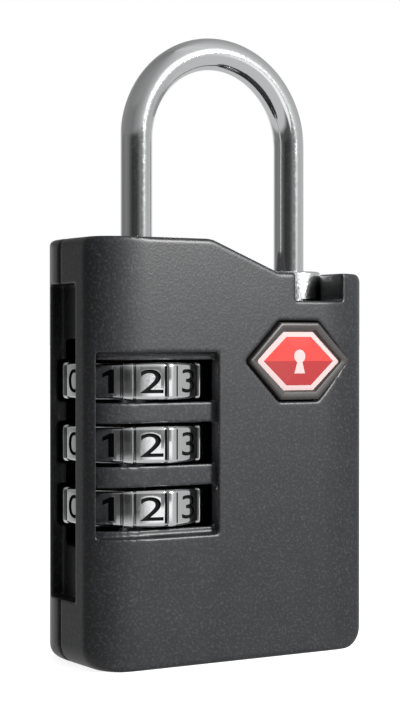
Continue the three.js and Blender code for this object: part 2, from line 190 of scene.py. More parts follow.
table = new_piece("table", [(x * TABLE_WIDTH / 2, y * TABLE_WIDTH / 2, TABLE_TOP)
                            for x, y in ((-1, -1), (1, -1), (1, 1), (-1, 1))], [(0, 1, 2, 3)])
white_card = bpy.data.materials.new("white_card")
white_card.use_nodes = True
card = white_card.node_tree.nodes["Principled BSDF"].inputs
card["Base Color"].default_value = linear("#F4F4F3")
card["Roughness"].default_value = 0.9
card["Emission Color"].default_value = (1, 1, 1, 1)
card["Emission Strength"].default_value = TABLE_LIFT
table.data.materials.append(white_card)
table.visible_glossy = False
table.visible_diffuse = False

# ---- casing halves -----------------------------------------------------------------------------
# Two zinc die castings, riveted from behind and powder coated in matt charcoal. Each starts as the
# whole outer form, lofted from front to back, has the window, chambers and bores cut out of it, and
# is then skinned as one fine mesh, which softens every edge as the coating does.
CASING = {"side": 15.0, "depth": 7.0, "height": 38.5, "shoulder": 35.65, "knee_x": -3.0, "slope_end_x": 4.2}
CASING_EDGE = {"front_x": 5.9, "front_y": 2.55, "rear": 6.7, "rim": 0.38, "top_corner": 0.8, "foot_corner": 1.9,
               "knee": 2.6, "slope_end": 1.2}
CASING_WALL = 1.4
PARTING = 0.15                  # half the gap between the two halves
WINDOW = {"x0": -14.25, "x1": -2.37, "z0": 11.75, "z1": 28.2, "depth": 0.85, "back": -3}
SIDE_SLOT = {"x": -13.4, "y0": -3.05, "y1": 2.25, "z0": 5.95, "z1": 34.35}
BUSH_NOTCH = {"x0": 6.1, "x1": 11.65, "z": 33.0}
BUSH_SEAT = {"radius": 3.4, "neck": 2.7, "low": 31.0}
LONG_LEG_X, SHORT_LEG_X = 10.0, -7.0
LEG_HOLE = 1.8
ROOF_UNDERSIDE = 30.8           # where the latch's chamber begins
DIAL_AXIS = (-7.55, -0.4)
DIAL_HEIGHTS = {"top": 25.65, "middle": 19.98, "bottom": 14.3}
DIAL_WELL = {"radius": 6.95, "half": 1.9}
BADGE_MIDDLE = (6.4, 27.38)
BADGE_SEAT = {"half": 5.86, "edge": 2.2, "rise": 3.75, "depth": 0.7}
SPINDLE_BORE = {"radius": 1.8, "low": 8.7, "high": 31}
LOCK_X = 4.5
KEY_BORE = 3.1
RIVET_PLACES = [(-4, 32.1), (4.5, 33.4), (-7.5, 4.6), (9.3, 3.3)]
RIVET_HOLE = {"boss": 1.4, "radius": 1.1, "front": -5, "head": 1.55, "head_seat": 6.1}
# The chambers inside: (x from, x to, z from, z to).
CHAMBERS = {"dials": (-14, -0.2, 10.6, 29.4), "key_cylinder": (-0.6, 7.5, CASING_WALL, 31.6),
            "long_leg": (7.4, 14, 6, 31.6), "latch": (-12.2, 5, ROOF_UNDERSIDE, CASING["height"])}
COAT_SKIN = {"voxel": 0.13, "smoothing": 4, "kept": 170000}
FAR, OUTSIDE, PAST = 20, 8, 1   # how far a cutter runs: well clear, outside front and back, and past a face
OVERLAP = 0.1                   # and into the next cutter


def rounded_outline(corners, steps=6):
    """A closed outline from (x, z, radius) corners, with every corner rounded in the same number of steps."""
    points = []
    for i, (x, z, radius) in enumerate(corners):
        here = Vector((x, z))
        came = (here - Vector(corners[i - 1][:2])).normalized()
        goes = (Vector(corners[(i + 1) % len(corners)][:2]) - here).normalized()
        bend = came.angle_signed(goes) * -1
        reach = radius * math.tan(abs(bend) / 2)
        side = Vector((-came.y, came.x)) * (1 if bend > 0 else -1)
        middle = here - came * reach + side * radius
        spoke = here - came * reach - middle
        for k in range(steps + 1):
            points.append(middle + Matrix.Rotation(bend * k / steps, 2) @ spoke)
    return points


def casing_outline(side_inset, rim_inset):
    """The casing seen from the front, drawn in at the sides, and all round by the rim's rounding."""
    side = CASING["side"] - side_inset
    top, shoulder, foot = CASING["height"] - rim_inset, CASING["shoulder"] - rim_inset, rim_inset
    slope = math.atan2(CASING["height"] - CASING["shoulder"], CASING["slope_end_x"] - CASING["knee_x"])
    shift = rim_inset * math.tan(slope / 2)
    top_corner = max(CASING_EDGE["top_corner"] - 0.3 * side_inset, 0.4)
    foot_corner = max(CASING_EDGE["foot_corner"] - 0.6 * side_inset, 0.5)
    return rounded_outline([(-side, foot, foot_corner), (side, foot, foot_corner), (side, shoulder, top_corner),
                            (CASING["slope_end_x"] - shift, shoulder, CASING_EDGE["slope_end"]),
                            (CASING["knee_x"] - shift, top, CASING_EDGE["knee"]), (-side, top, top_corner)])


def outward(body, merged=0.0):
    """Merges the corners that lie that close, and turns every face outwards."""
    shape = bmesh.new()
    shape.from_mesh(body.data)
    if merged:
        bmesh.ops.remove_doubles(shape, verts=shape.verts, dist=merged)
    bmesh.ops.recalc_face_normals(shape, faces=shape.faces)
    shape.to_mesh(body.data)
    shape.free()
    return body


def lofted(name, rings):
    """A closed solid through rings of as many points each, with a flat face at each end."""
    count = len(rings[0])
    vertices = [point for ring in rings for point in ring]
    faces = [tuple(range(count)), tuple(reversed(range((len(rings) - 1) * count, len(rings) * count)))]
    for r in range(len(rings) - 1):
        for k in range(count):
            a, b = r * count + k, r * count + (k + 1) % count
            faces.append((a, a + count, b + count, b))
    return outward(new_piece(name, vertices, faces))


def rounding(depth, half_x, half_y):
    """How far an elliptical edge has drawn in at that depth below the face."""
    return half_x * (1 - math.sqrt(max(0.0, 1 - max(0.0, 1 - depth / half_y) ** 2)))


def casing_form(name, inset, y_from, y_to):
    """The casing's outer form, drawn in all round by inset, between two depths."""
    face = CASING["depth"] - inset
    rim = CASING_EDGE["rim"] if inset == 0 else 0.02
    steps = 44
    front = [(CASING_EDGE["front_y"] - inset) * (1 - math.cos(math.pi / 2 * k / steps)) for k in range(steps + 1)]
    rear = [(CASING_EDGE["rear"] - inset) * (1 - math.cos(math.pi / 2 * k / steps)) for k in range(steps + 1)]
    depths = [-face + d for d in front] + [face - d for d in reversed(rear)]
    depths = sorted({y_from, y_to} | {y for y in depths if y_from < y < y_to})
    rings = []
    for y in depths:
        down = face - abs(y)
        if y < 0:
            side = rounding(down, CASING_EDGE["front_x"] - inset, CASING_EDGE["front_y"] - inset)
        else:
            side = rounding(down, CASING_EDGE["rear"] - inset, CASING_EDGE["rear"] - inset)
        rings.append([(x, y, z) for x, z in casing_outline(side + inset, rounding(down, rim, rim) + inset)])
    return lofted(name, rings)


def block(x0, x1, y0, y1, z0, z1):
    return lofted("cutter", [[(x0, y0, z), (x1, y0, z), (x1, y1, z), (x0, y1, z)] for z in (z0, z1)])


def upright_bore(x, y, radius, z0, z1, sides=96):
    turns = [2 * math.pi * k / sides for k in range(sides)]
    return lofted("cutter", [[(x + radius * math.cos(a), y + radius * math.sin(a), z) for a in turns]
                             for z in (z0, z1)])


def cross_bore(x, z, radius, y0, y1, sides=48):
    turns = [2 * math.pi * k / sides for k in range(sides)]
    return lofted("cutter", [[(x + radius * math.cos(a), y, z + radius * math.sin(a)) for a in turns]
                             for y in (y0, y1)])


def hexagon(size, grow=0.0, corner=0.25):
    """The badge's long hexagon seen from the front, its points rounded."""
    half, edge, rise = size["half"] + grow * 1.2, size["edge"] + grow * 0.5, size["rise"] + grow
    x, z = BADGE_MIDDLE
    return rounded_outline([(x - half, z, corner), (x - edge, z - rise, corner), (x + edge, z - rise, corner),
                            (x + half, z, corner), (x + edge, z + rise, corner), (x - edge, z + rise, corner)], 4)


def worked(body, operation, tools):
    """Joins, cuts or trims a solid with others, which are used up."""
    for tool in tools:
        step = body.modifiers.new("step", "BOOLEAN")
        step.operation, step.object, step.solver = operation, tool, "MANIFOLD"
    return settled(body, tools)


def settled(body, used_up=()):
    """Makes what the modifiers give the object's own mesh, and removes them."""
    mesh = bpy.data.meshes.new_from_object(body.evaluated_get(bpy.context.evaluated_depsgraph_get()))
    body.modifiers.clear()
    body.data = mesh
    mesh.name = body.name
    for tool in used_up:
        bpy.data.objects.remove(tool)
    return body


def hollow_cutter():
    """The chambers joined, kept within the casing's wall and clear of the rivets' bosses."""
    first, *others = [block(x0, x1, -OUTSIDE, OUTSIDE, z0, z1) for x0, x1, z0, z1 in CHAMBERS.values()]
    rooms = worked(first, "UNION", others)
    inner = casing_form("inner_form", CASING_WALL, -CASING["depth"] + CASING_WALL, CASING["depth"] - CASING_WALL)
    rooms = worked(rooms, "INTERSECT", [inner])
    return worked(rooms, "DIFFERENCE", [cross_bore(x, z, RIVET_HOLE["boss"], -OUTSIDE, OUTSIDE)
                                        for x, z in RIVET_PLACES])


def casing_cutters():
    """Everything that is taken out of the outer form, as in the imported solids."""
    x, y = DIAL_AXIS
    face = -CASING["depth"]
    heights = DIAL_HEIGHTS.values()
    well = DIAL_WELL["half"]
    window = worked(
        block(WINDOW["x0"], WINDOW["x1"], face - PAST, WINDOW["back"], WINDOW["z0"], WINDOW["z1"]), "DIFFERENCE",
        [casing_form("floor_form", WINDOW["depth"], face + WINDOW["depth"], CASING["depth"] - PAST)])
    cutters = [hollow_cutter(), window]
    cutters += [upright_bore(x, y, DIAL_WELL["radius"], z - well, z + well) for z in heights]
    cutters += [block(WINDOW["x0"], WINDOW["x1"], face - PAST, WINDOW["back"], z - well, z + well)
                for z in heights]
    cutters.append(block(-FAR, SIDE_SLOT["x"], SIDE_SLOT["y0"], SIDE_SLOT["y1"], SIDE_SLOT["z0"], SIDE_SLOT["z1"]))
    cutters.append(block(BUSH_NOTCH["x0"], BUSH_NOTCH["x1"], face - PAST, 0, BUSH_NOTCH["z"], FAR * 2))
    cutters.append(upright_bore(LONG_LEG_X, 0, BUSH_SEAT["radius"], BUSH_NOTCH["z"], FAR * 2))
    cutters.append(upright_bore(LONG_LEG_X, 0, BUSH_SEAT["neck"], BUSH_SEAT["low"], BUSH_NOTCH["z"] + OVERLAP))
    cutters.append(upright_bore(SHORT_LEG_X, 0, LEG_HOLE, ROOF_UNDERSIDE, FAR * 2))
    cutters.append(upright_bore(x, y, SPINDLE_BORE["radius"], SPINDLE_BORE["low"], SPINDLE_BORE["high"]))
    cutters.append(upright_bore(LOCK_X, 0, KEY_BORE, -PAST, CASING_WALL + OVERLAP))
    cutters.append(lofted("cutter", [[(px, py, pz) for px, pz in hexagon(BADGE_SEAT)]
                                     for py in (face - PAST, face + BADGE_SEAT["depth"])]))
    for rivet_x, rivet_z in RIVET_PLACES:
        cutters.append(cross_bore(rivet_x, rivet_z, RIVET_HOLE["radius"], RIVET_HOLE["front"], OUTSIDE))
        cutters.append(cross_bore(rivet_x, rivet_z, RIVET_HOLE["head"], RIVET_HOLE["head_seat"], OUTSIDE))
    return cutters


def skinned(body):
    """One even skin over the cut solid, its edges softened."""
    skin = body.modifiers.new("skin", "REMESH")
    skin.mode, skin.voxel_size = "VOXEL", COAT_SKIN["voxel"] * MM
    ease = body.modifiers.new("ease", "SMOOTH")
    ease.factor, ease.iterations = 0.5, COAT_SKIN["smoothing"]
    settled(body)
    thin = body.modifiers.new("thin", "DECIMATE")
    triangles = sum(len(p.vertices) - 2 for p in body.data.polygons)
    thin.ratio = min(1.0, COAT_SKIN["kept"] / triangles)
    settled(body)
    body.data.shade_smooth()
    return body


def finished(body, material, rides, slot, *nodes):
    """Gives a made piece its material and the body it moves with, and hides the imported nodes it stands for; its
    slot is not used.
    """
    body.data.materials.clear()
    body.data.materials.append(material)
    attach(body, rides)
    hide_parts(*nodes)
    return body


def new_finish(name, **uniform):
    """A material with its shader's even values set, its tree, its shader and the Object coordinates."""
    made = bpy.data.materials.new(name)
    made.use_nodes = True
    tree = made.node_tree
    shader = tree.nodes["Principled BSDF"]
    for socket, value in uniform.items():
        shader.inputs[socket.replace("_", " ")].default_value = value
    return made, tree, shader, add_node(tree, "ShaderNodeTexCoord").outputs["Object"]


def per_mm(size):
    """The scale that gives a noise that size of feature, in millimetres."""
    return 1 / (size * MM)


# Powder coating, fused matt: a broad soft sheen, a grain about a quarter of a millimetre across that breaks
# the sheen into light specks, and slow changes of tone over a few millimetres.
COAT_DARK, COAT_LIGHT = "#1D1E20", "#3F4043"
COAT_GRAIN, COAT_CLOUD = 0.24, 3.5
powder_coat, tree, shader, place = new_finish("powder_coat", Roughness=0.38, Specular_IOR_Level=0.5)
grain = add_node(tree, "ShaderNodeTexNoise", {"Vector": place, "Scale": per_mm(COAT_GRAIN), "Detail": 3.0,
                                              "Roughness": 0.6})
cloud = add_node(tree, "ShaderNodeTexNoise", {"Vector": place, "Scale": per_mm(COAT_CLOUD), "Detail": 2.0})
speck = add_node(tree, "ShaderNodeMapRange", {"Value": grain.outputs["Fac"], "From Min": 0.5, "From Max": 0.78})
tone = add_node(tree, "ShaderNodeMapRange", {"Value": cloud.outputs["Fac"], "From Min": 0.3, "From Max": 0.7,
                                             "To Min": 0.0, "To Max": 0.12})
mixed = add_node(tree, "ShaderNodeMath", {0: speck.outputs[0], 1: tone.outputs[0]}, operation="ADD", use_clamp=True)
colour = add_node(tree, "ShaderNodeMix", {0: mixed.outputs[0], 6: linear(COAT_DARK), 7: linear(COAT_LIGHT)},
                  data_type="RGBA")
bump = add_node(tree, "ShaderNodeBump", {"Height": grain.outputs["Fac"], "Strength": 0.26, "Distance": 0.05 * MM})
tree.links.new(colour.outputs[2], shader.inputs["Base Color"])
tree.links.new(bump.outputs["Normal"], shader.inputs["Normal"])

for half, y_from, y_to in (("front", -CASING["depth"], -PARTING), ("rear", PARTING, CASING["depth"])):
    casing = casing_form(f"casing_{half}", 0, y_from, y_to)
    if half == "rear":          # a low lip that laps into the front half, so no light passes the joint
        lip = casing_form("lip", 0.5, -PARTING + 0.03, PARTING + 0.3)
        casing = worked(casing, "UNION", [lip])
    casing = skinned(worked(casing, "DIFFERENCE", casing_cutters()))
    finished(casing, powder_coat, "casing", "casing_coat", f"{half}_casing")

# ---- casing rivets -----------------------------------------------------------------------------
# Four pan-headed rivets that close the casing from behind, coated with it. One head and shank is
# turned once and set at each hole.
RIVET = {"shank": 0.8, "head": 1.4, "thick": 0.8, "edge": 0.25, "proud": 0.3, "length": 12.0}


def turned(name, profile, sides=48):
    """A solid turned about +Z from a closed outline of (radius, height)."""
    vertices, faces, rows = [], [], []
    for radius, height in profile:
        if radius < 1e-6:
            rows.append([len(vertices)] * sides)
            vertices.append((0, 0, height))
        else:
            rows.append(list(range(len(vertices), len(vertices) + sides)))
            turns = [2 * math.pi * k / sides for k in range(sides)]
            vertices += [(radius * math.cos(a), radius * math.sin(a), height) for a in turns]
    pairs = list(zip(rows, rows[1:])) if profile[0][0] < 1e-6 else list(zip(rows, rows[1:] + rows[:1]))
    for low, high in pairs:
        for k in range(sides):
            n = (k + 1) % sides
            face = [low[k], low[n], high[n], high[k]]
            faces.append(tuple(dict.fromkeys(face)))
    return outward(new_piece(name, vertices, faces))


def rounded_end(radius, height, bevel, up=1, steps=4):
    """Profile points round an outer corner, towards the axis."""
    return [(radius - bevel * (1 - math.cos(math.pi / 2 * k / steps)),
             height - up * bevel * (1 - math.sin(math.pi / 2 * k / steps))) for k in range(steps + 1)]


def geometry_tree(name, **sizes):
    """A Geometry Nodes tree with named inputs. Returns the tree and its group input."""
    tree = bpy.data.node_groups.new(name, "GeometryNodeTree")
    tree.interface.new_socket("Geometry", in_out="INPUT", socket_type="NodeSocketGeometry")
    for size, kind in sizes.items():
        tree.interface.new_socket(size.replace("_", " "), in_out="INPUT", socket_type=f"NodeSocket{kind}")
    tree.interface.new_socket("Geometry", in_out="OUTPUT", socket_type="NodeSocketGeometry")
    return tree, tree.nodes.new("NodeGroupInput")


def end_tree(tree, geometry, material):
    real = add_node(tree, "GeometryNodeRealizeInstances", {"Geometry": geometry})
    painted = add_node(tree, "GeometryNodeSetMaterial", {"Geometry": real.outputs[0], "Material": material})
    add_node(tree, "NodeGroupOutput", {0: painted.outputs[0]})


def grown(body, tree, **sizes):
    """Runs a tree on an object with its inputs set by identifier, and keeps the plain mesh."""
    step = body.modifiers.new("grown", "NODES")
    step.node_group = tree
    for item in tree.interface.items_tree:
        if item.in_out == "INPUT" and item.name.replace(" ", "_") in sizes:
            step[item.identifier] = sizes[item.name.replace(" ", "_")]
    return settled(body)


rivet_low = -RIVET["length"]
rivet_blank = turned("rivet_blank", [
    (0, rivet_low), (RIVET["shank"], rivet_low), (RIVET["shank"], -RIVET["thick"]),
    (RIVET["head"], -RIVET["thick"]), *rounded_end(RIVET["head"], 0, RIVET["edge"]), (0, 0)], 40)
rivet_blank.data.transform(Matrix.Rotation(-math.pi / 2, 4, "X"))
rivet_tree, given = geometry_tree("rivets_in_holes", Rivet="Object", Proud="Float")
blank = add_node(rivet_tree, "GeometryNodeObjectInfo", {"Object": given.outputs["Rivet"]})
rise = add_node(rivet_tree, "ShaderNodeCombineXYZ", {"Y": given.outputs["Proud"]})
seats = add_node(rivet_tree, "GeometryNodeSetPosition", {"Geometry": given.outputs["Geometry"],
                                                         "Offset": rise.outputs[0]})
placed = add_node(rivet_tree, "GeometryNodeInstanceOnPoints", {"Points": seats.outputs[0],
                                                               "Instance": blank.outputs["Geometry"]})
end_tree(rivet_tree, placed.outputs[0], powder_coat)
rivets = new_piece("casing_rivets", [(x, CASING["depth"], z) for x, z in RIVET_PLACES], [])
rivets = grown(rivets, rivet_tree, Rivet=rivet_blank, Proud=RIVET["proud"] * MM)
bpy.data.objects.remove(rivet_blank)
rivets.data.shade_smooth()
rivets.data.set_sharp_from_angle(angle=math.radians(40))
finished(rivets, powder_coat, "casing", "casing_coat", *[f"casing_rivet_{i}" for i in (1, 2, 3, 4)])

# ---- shackle -----------------------------------------------------------------------------------
# A hoop of 3 mm hardened steel wire, bent and then chrome plated. Its long leg stays in the body, and
# its short leg has the latch's notch. The wire is swept along the hoop, and the notch and the stop
# ring's groove are cut.
WIRE = {"radius": 1.5, "sides": 56, "tip": 0.45}
HOOP = {"arch_z": 47.9, "short_end": 32.0, "long_end": 7.5, "arch_steps": 72}
LATCH_NOTCH = {"top": 35.8, "square": 34.8, "deep": 0.78, "taper": 0.3}
RING_GROOVE = {"low": 22.4, "high": 23.2, "radius": 1.15}

# Bright chrome over nickel: a near mirror, a little softened by polishing, with a faint unevenness of
# the drawn wire that roughens the edges of what it reflects.
CHROME_TINT = "#ECEDEE"
chrome, tree, shader, place = new_finish("chrome_plate", Metallic=1.0, Base_Color=linear(CHROME_TINT))
polish = add_node(tree, "ShaderNodeTexNoise", {"Vector": place, "Scale": per_mm(0.35), "Detail": 3.0})
haze = add_node(tree, "ShaderNodeMapRange", {"Value": polish.outputs["Fac"], "From Min": 0.3, "From Max": 0.7,
                                             "To Min": 0.05, "To Max": 0.13})
along_legs = add_node(tree, "ShaderNodeMapRange", {"Value": add_node(tree, "ShaderNodeSeparateXYZ", {
    "Vector": place}).outputs["Z"], "From Min": 49 * MM, "From Max": 44 * MM, "To Min": 0.01, "To Max": 0.07})
waver = add_node(tree, "ShaderNodeBump", {"Height": polish.outputs["Fac"], "Strength": along_legs.outputs[0],
                                          "Distance": 0.04 * MM})
tree.links.new(haze.outputs[0], shader.inputs["Roughness"])
tree.links.new(waver.outputs["Normal"], shader.inputs["Normal"])

wire_tree, given = geometry_tree("swept_wire", Radius="Float", Sides="Int")
line = add_node(wire_tree, "GeometryNodeMeshToCurve", {"Mesh": given.outputs["Geometry"]})
section = add_node(wire_tree, "GeometryNodeCurvePrimitiveCircle", {"Resolution": given.outputs["Sides"],
                                                                   "Radius": given.outputs["Radius"]})
taper = add_node(wire_tree, "GeometryNodeInputNamedAttribute", {"Name": "taper"}, data_type="FLOAT")
swept = add_node(wire_tree, "GeometryNodeCurveToMesh", {"Curve": line.outputs[0],
                                                        "Profile Curve": section.outputs["Curve"],
                                                        "Scale": taper.outputs[0], "Fill Caps": True})
end_tree(wire_tree, swept.outputs[0], chrome)


def wire_along(name, path, radius, sides, tapers):
    """Wire swept along a path, its radius times the taper at each point."""
    made = new_piece(name, path, [])
    made.data.edges.add(len(path) - 1)
    for k, edge in enumerate(made.data.edges):
        edge.vertices = (k, k + 1)
    made.data.attributes.new("taper", "FLOAT", "POINT").data.foreach_set("value", tapers)
    return outward(grown(made, wire_tree, Radius=radius * MM, Sides=sides), merged=1e-7)


def hoop_path():
    """Points down the hoop from the short leg's end to the long leg's, and the taper at each."""
    radius, middle = (LONG_LEG_X - SHORT_LEG_X) / 2, (LONG_LEG_X + SHORT_LEG_X) / 2
    tip, bevel = 1 - WIRE["tip"] / WIRE["radius"], [(0.0, 0.0), (0.15, 0.3), (0.5, 0.7), (1.0, 1.0)]
    points, tapers = [], []
    for down, share in bevel:
        points.append((SHORT_LEG_X, 0, HOOP["short_end"] + down * WIRE["tip"]))
        tapers.append(tip + (1 - tip) * share)
    points += [(SHORT_LEG_X, 0, z) for z in (38, 44)]
    for k in range(HOOP["arch_steps"] + 1):
        a = math.pi * (1 - k / HOOP["arch_steps"])
        points.append((middle + radius * math.cos(a), 0, HOOP["arch_z"] + radius * math.sin(a)))
    points += [(LONG_LEG_X, 0, z) for z in (44, 30)]
    tapers += [1.0] * (len(points) - len(tapers))
    for down, share in reversed(bevel):
        points.append((LONG_LEG_X, 0, HOOP["long_end"] + down * WIRE["tip"]))
        tapers.append(tip + (1 - tip) * share)
    return points, tapers


path, tapers = hoop_path()
shackle = wire_along("shackle_hoop", path, WIRE["radius"], WIRE["sides"], tapers)
outer = SHORT_LEG_X - WIRE["radius"]
run = LATCH_NOTCH["deep"] / LATCH_NOTCH["taper"]
notch_outline = [(outer - 0.5, LATCH_NOTCH["top"]), (outer - 0.5, LATCH_NOTCH["square"] - run),
                 (outer, LATCH_NOTCH["square"] - run), (outer + LATCH_NOTCH["deep"], LATCH_NOTCH["square"]),
                 (outer + LATCH_NOTCH["deep"], LATCH_NOTCH["top"])]
latch_cut = lofted("cutter", [[(x, y, z) for x, z in notch_outline] for y in (-2, 2)])
groove = turned("cutter", [(RING_GROOVE["radius"], RING_GROOVE["low"]), (2, RING_GROOVE["low"]),
                           (2, RING_GROOVE["high"]), (RING_GROOVE["radius"], RING_GROOVE["high"])])
groove.data.transform(Matrix.Translation(Vector((LONG_LEG_X, 0, 0)) * MM))
worked(shackle, "DIFFERENCE", [latch_cut, groove])
shackle.data.shade_smooth()
shackle.data.set_sharp_from_angle(angle=math.radians(32))
finished(shackle, chrome, "shackle_bow", "chrome", "shackle")

# ---- shackle bush ------------------------------------------------------------------------------
# A turned and plated steel guide for the long leg. It shows in the notch at the casing's corner,
# where the plating is left as turned, so it sparkles.
BUSH = {"radius": 3.1, "bore": 1.8, "neck": 2.4, "top": 35.95, "low": 30.2, "lip": 30.7, "shelf": 33.3}
turned_chrome, tree, shader, place = new_finish("turned_chrome", Metallic=1.0, Base_Color=linear(CHROME_TINT))
stretch = add_node(tree, "ShaderNodeMapping", {"Vector": place, "Scale": (1.0, 1.0, 0.6)})
tooling = add_node(tree, "ShaderNodeTexNoise", {"Vector": stretch.outputs[0], "Scale": per_mm(0.16), "Detail": 2.0})
sparkle = add_node(tree, "ShaderNodeBump", {"Height": tooling.outputs["Fac"], "Strength": 0.5, "Distance": 0.05 * MM})
dulled = add_node(tree, "ShaderNodeMapRange", {"Value": tooling.outputs["Fac"], "To Min": 0.1, "To Max": 0.3})
tree.links.new(dulled.outputs[0], shader.inputs["Roughness"])
tree.links.new(sparkle.outputs["Normal"], shader.inputs["Normal"])
bush = turned("shackle_guide_bush", [
    (BUSH["bore"], BUSH["low"]), (BUSH["radius"], BUSH["low"]), (BUSH["radius"], BUSH["lip"]),
    (BUSH["neck"], BUSH["lip"]), (BUSH["neck"], BUSH["shelf"]), (BUSH["radius"], BUSH["shelf"]),
    *rounded_end(BUSH["radius"], BUSH["top"], 0.3), (BUSH["bore"] + 0.12, BUSH["top"]),
    (BUSH["bore"], BUSH["top"] - 0.12)], 96)
bush.data.transform(Matrix.Translation(Vector((LONG_LEG_X, 0, 0)) * MM))
bush.data.shade_smooth()
bush.data.set_sharp_from_angle(angle=math.radians(35))
finished(bush, turned_chrome, "casing", "chrome", "shackle_bush")

# ---- number dials ------------------------------------------------------------------------------
# Three chromed zinc dials with ten slightly crowned flats, a ridge between each pair for the thumb,
# and the figures 0 to 9 sunk into the flats and filled with black enamel.
DIAL = {"ridge": 6.7, "flat": 6.3, "crown": 0.05, "half_height": 1.65, "bore": 2.7, "rim": 0.3, "digits": 10}
DIAL_START = 2.5                # degrees from the front to the nearest ridge
RIDGE_SHAPE = [(0.0, 6.7), (2.0, 6.695), (3.4, 6.66), (4.1, 6.57), (4.5, 6.44), (4.75, 6.33), (5.05, 6.26),
               (5.6, 6.26), (6.0, 6.33), (6.3, 6.43)]      # (degrees from the ridge's middle, radius)
FLAT_HALF, FLAT_STEPS = 11.7, 8     # degrees, and how many steps across
FIGURE = {"height": 2.12, "depth": 0.16, "width": 1.6, "shift": 0.14, "bolder": 0.006, "reach": 1.5}
FLAGGED_ONE = [(0, 0), (0.17, 0), (0.17, 1), (0.06, 1), (-0.17, 0.83), (-0.17, 0.65), (0, 0.76)]
ZERO_AT = -87.5                 # degrees from the front to the middle of the 0, towards the right


def dial_section():
    """(radius, angle) once round the dial's outline."""
    section = []
    for i in range(DIAL["digits"]):
        ridge = math.radians(i * 36 + DIAL_START - 90)
        for degrees, radius in [(-d, r) for d, r in reversed(RIDGE_SHAPE[1:])] + RIDGE_SHAPE:
            section.append((radius, ridge + math.radians(degrees)))
        for k in range(1, FLAT_STEPS):      # the crowned flat up to the next ridge
            degrees = -FLAT_HALF + 2 * FLAT_HALF * k / FLAT_STEPS
            bulge = DIAL["crown"] * (1 - (degrees / FLAT_HALF) ** 2)
            section.append(((DIAL["flat"] + bulge) / math.cos(math.radians(degrees)),
                            ridge + math.radians(18 + degrees)))
    return section


def dial_blank(name):
    """The dial before its figures are cut, about the origin."""
    section, half, rim = dial_section(), DIAL["half_height"], DIAL["rim"]
    levels = [(half - rim * (1 - math.sin(math.pi / 2 * k / 4)), rim * (1 - math.cos(math.pi / 2 * k / 4)))
              for k in range(5)]
    levels = [(-z, inset) for z, inset in reversed(levels)] + levels
    vertices, faces, count = [], [], len(section)
    for z, inset in levels:
        vertices += [((r - inset) * math.cos(a), (r - inset) * math.sin(a), z) for r, a in section]
    for z in (half, -half):
        vertices += [(DIAL["bore"] * math.cos(a), DIAL["bore"] * math.sin(a), z) for _, a in section]
    rows = len(levels) + 2
    for row in range(rows):
        after = (row + 1) % rows
        for k in range(count):
            n = (k + 1) % count
            faces.append((row * count + k, row * count + n, after * count + n, after * count + k))
    return outward(new_piece(name, vertices, faces))


def figure_cutter(figure):
    """One figure as a closed block standing across its flat's face."""
    if figure == 1:
        flat = bpy.data.meshes.new("figure")
        flat.from_pydata([(x, y, 0) for x, y in FLAGGED_ONE], [], [range(len(FLAGGED_ONE))])
    else:
        text = bpy.data.curves.new("figure", "FONT")
        text.body, text.resolution_u, text.offset = str(figure), 8, FIGURE["bolder"]
        letter = bpy.data.objects.new("figure", text)
        scene.collection.objects.link(letter)
        flat = bpy.data.meshes.new_from_object(letter.evaluated_get(bpy.context.evaluated_depsgraph_get()))
        bpy.data.objects.remove(letter)
    shape = bmesh.new()
    shape.from_mesh(flat)
    bmesh.ops.remove_doubles(shape, verts=shape.verts, dist=1e-5)
    bmesh.ops.dissolve_limit(shape, angle_limit=0.01, verts=shape.verts, edges=shape.edges)
    bmesh.ops.triangulate(shape, faces=shape.faces)
    raised = bmesh.ops.extrude_face_region(shape, geom=shape.faces[:])
    bmesh.ops.recalc_face_normals(shape, faces=shape.faces)
    sides = [v.co for v in shape.verts]
    low, high = min(c.y for c in sides), max(c.y for c in sides)
    left, right = min(c.x for c in sides), max(c.x for c in sides)
    scale = FIGURE["height"] / (high - low)
    top = {v for v in raised["geom"] if isinstance(v, bmesh.types.BMVert)}
    a = math.radians(ZERO_AT + 36 * figure)
    out, along = Vector((math.sin(a), -math.cos(a), 0)), Vector((math.cos(a), math.sin(a), 0))
    for v in shape.verts:
        rise = DIAL["flat"] + (0.5 if v in top else -FIGURE["depth"])
        u = (v.co.x - (left + right) / 2) * scale * FIGURE["width"] + FIGURE["shift"]
        v.co = (out * rise + along * u + Vector((0, 0, (v.co.y - (low + high) / 2) * scale))) * MM
    if shape.calc_volume(signed=True) < 0:
        bmesh.ops.reverse_faces(shape, faces=shape.faces)
    shape.to_mesh(flat)
    shape.free()
    made = bpy.data.objects.new("cutter", flat)
    scene.collection.objects.link(made)
    return made


# Black stoving enamel wiped into the figures: dark, and duller than the plating round it.
enamel, tree, shader, place = new_finish("black_enamel", Roughness=0.6, Specular_IOR_Level=0.15)
mottle = add_node(tree, "ShaderNodeTexNoise", {"Vector": place, "Scale": per_mm(0.3), "Detail": 2.0})
ink = add_node(tree, "ShaderNodeMix", {0: mottle.outputs["Fac"], 6: linear("#050506"), 7: linear("#101012")},
               data_type="RGBA")
tree.links.new(ink.outputs[2], shader.inputs["Base Color"])

